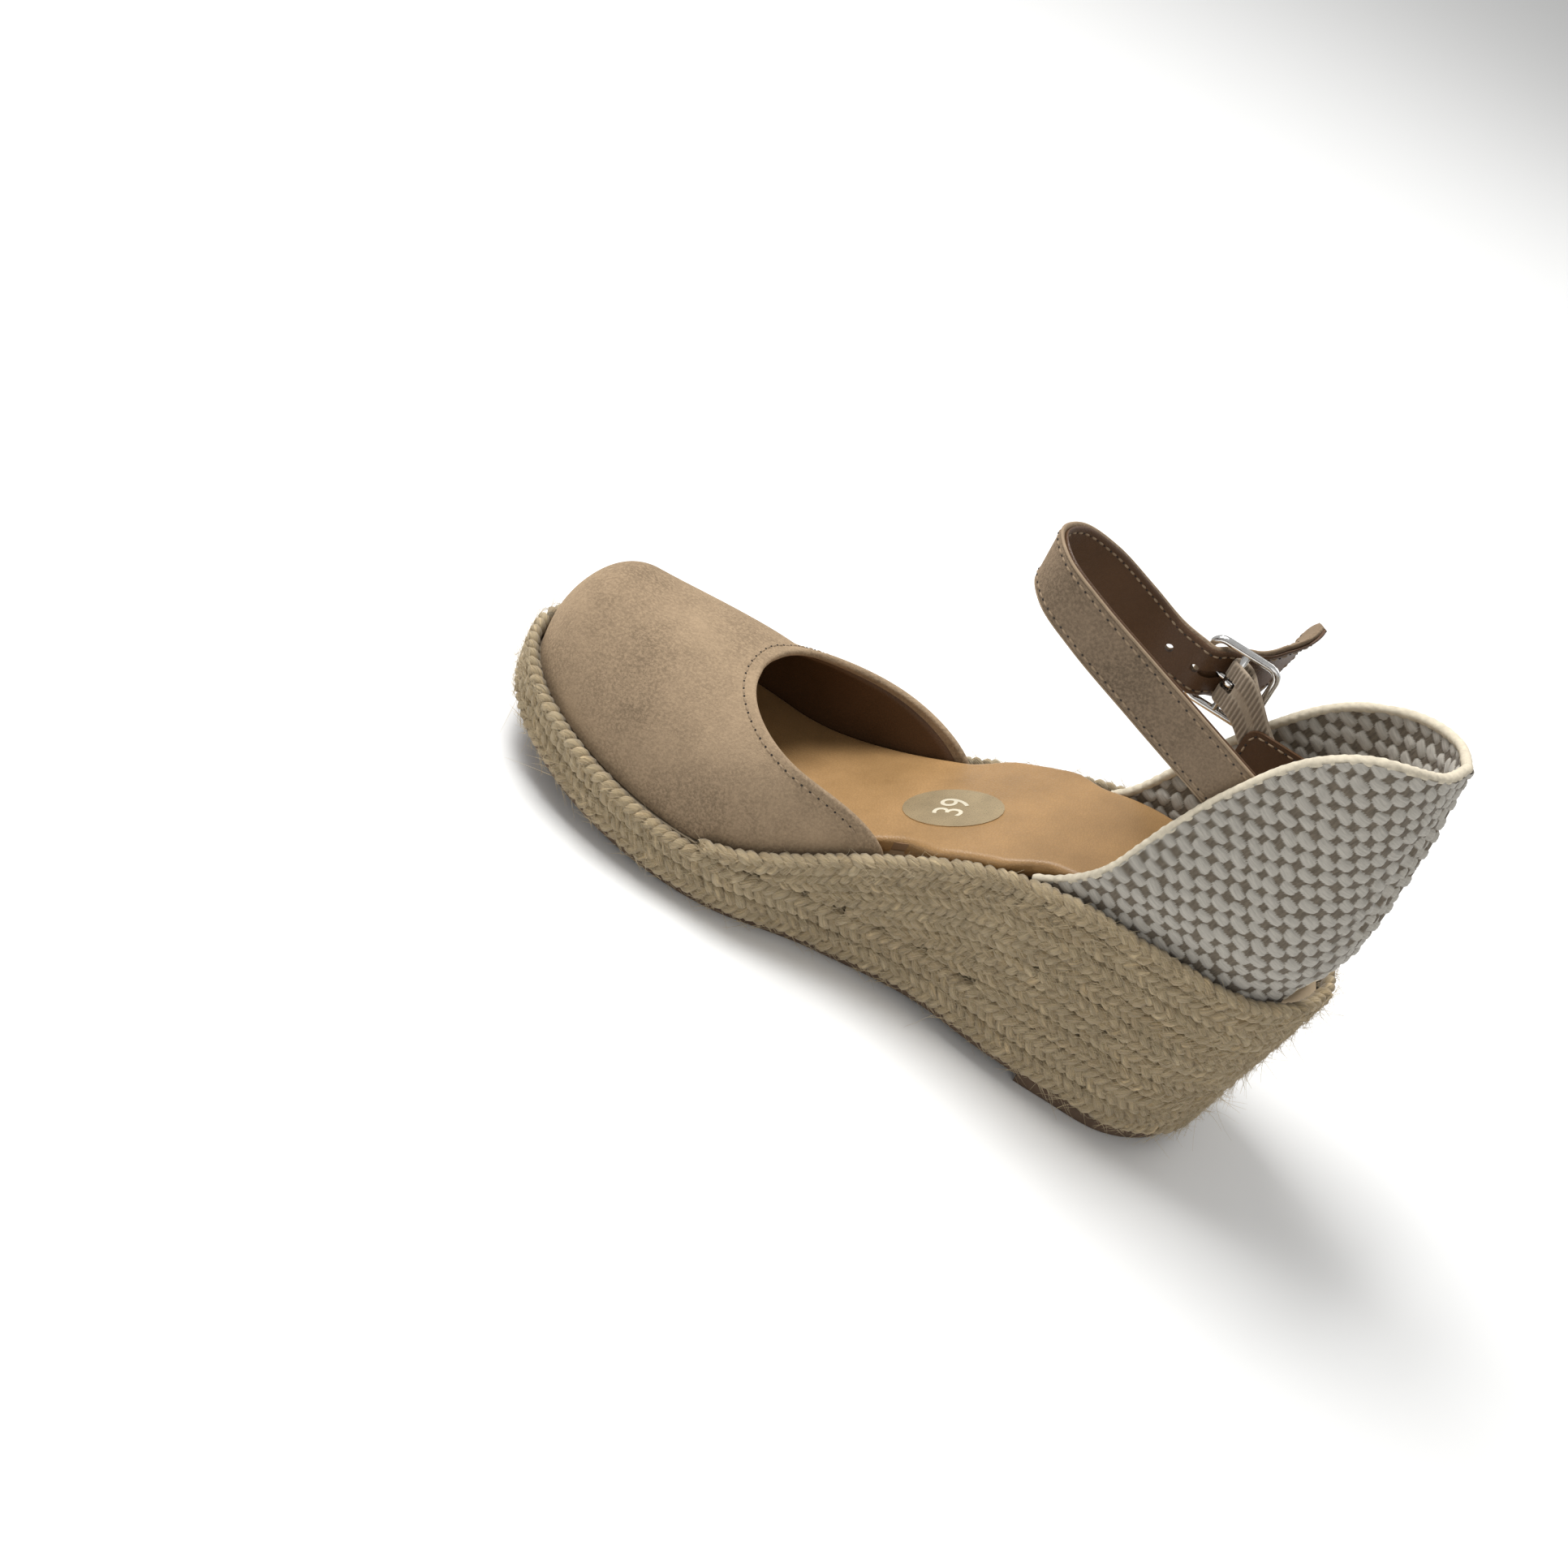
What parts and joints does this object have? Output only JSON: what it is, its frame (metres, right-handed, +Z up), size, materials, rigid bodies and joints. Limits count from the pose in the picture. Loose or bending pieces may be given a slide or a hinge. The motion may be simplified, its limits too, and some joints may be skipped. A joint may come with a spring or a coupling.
{
  "type": "wedge sandal",
  "caption": "Closed-toe wedge sandal with a braided jute-wrapped heel, a woven heel quarter and a buckled ankle strap.",
  "frame": {"origin": "on the ground, under the middle of the heel lift", "axes": "+X to the toe, +Y to the inner (medial) side of the right foot, +Z up"},
  "size_m": [0.2509, 0.095, 0.1493],
  "materials": {
    "core": "dense foamed wedge block, hidden",
    "shank": "plain strip steel, hidden",
    "board": "pressed fibre board, hidden",
    "foam": "soft foam, hidden but for its edge",
    "insole_leather": "smooth tan leather, satin",
    "label": "thin glossy gold-toned film",
    "jute": "three-strand braided jute, fuzzy",
    "sole_rubber": "brown rubber, matte",
    "suede": "napped tan suede, very matte",
    "puff": "toe stiffener, hidden",
    "brown_leather": "smooth brown leather, satin",
    "basket_weave": "two-tone basket weave of thick yarns",
    "elastic": "ribbed elastic webbing",
    "silver": "polished nickel plate"
  },
  "bodies": {
    "shoe": {"wedge_core": "core", "steel_shank": "shank", "insole_board": "board", "footbed_foam": "foam", "insole_sock": "insole_leather", "size_label": "label", "jute_braid_1": "jute", "jute_braid_2": "jute", "jute_braid_3": "jute", "jute_braid_4": "jute", "jute_braid_5": "jute", "jute_braid_6": "jute", "jute_braid_7": "jute", "jute_braid_8": "jute", "jute_braid_9": "jute", "outsole": "sole_rubber", "heel_lift": "sole_rubber", "vamp_suede": "suede", "toe_puff": "puff", "vamp_lining": "brown_leather", "quarter_cloth": "basket_weave", "strap_patch": "brown_leather", "elastic_patch": "brown_leather"},
    "ankle_strap": {"strap_suede": "suede", "strap_lining": "brown_leather", "elastic_tab": "elastic"},
    "buckle": {"buckle_frame": "silver"},
    "prong": {"buckle_prong": "silver"}
  },
  "joints": [
    {"name": "strap_swing", "type": "hinge", "parent": "shoe", "child": "ankle_strap", "pos_m": [0.01, 0, 0.108], "axis": [0, -1, 0], "range_deg": [-10, 20]},
    {"name": "buckle_turn", "type": "hinge", "parent": "ankle_strap", "child": "buckle", "pos_m": [0.031, -0.0266, 0.117], "axis": [0, 0, -1], "range_deg": [0, 5]},
    {"name": "prong_lift", "type": "hinge", "parent": "buckle", "child": "prong", "pos_m": [0.031, -0.0266, 0.117], "axis": [0, 0, -1], "range_deg": [0, 12]}
  ]
}
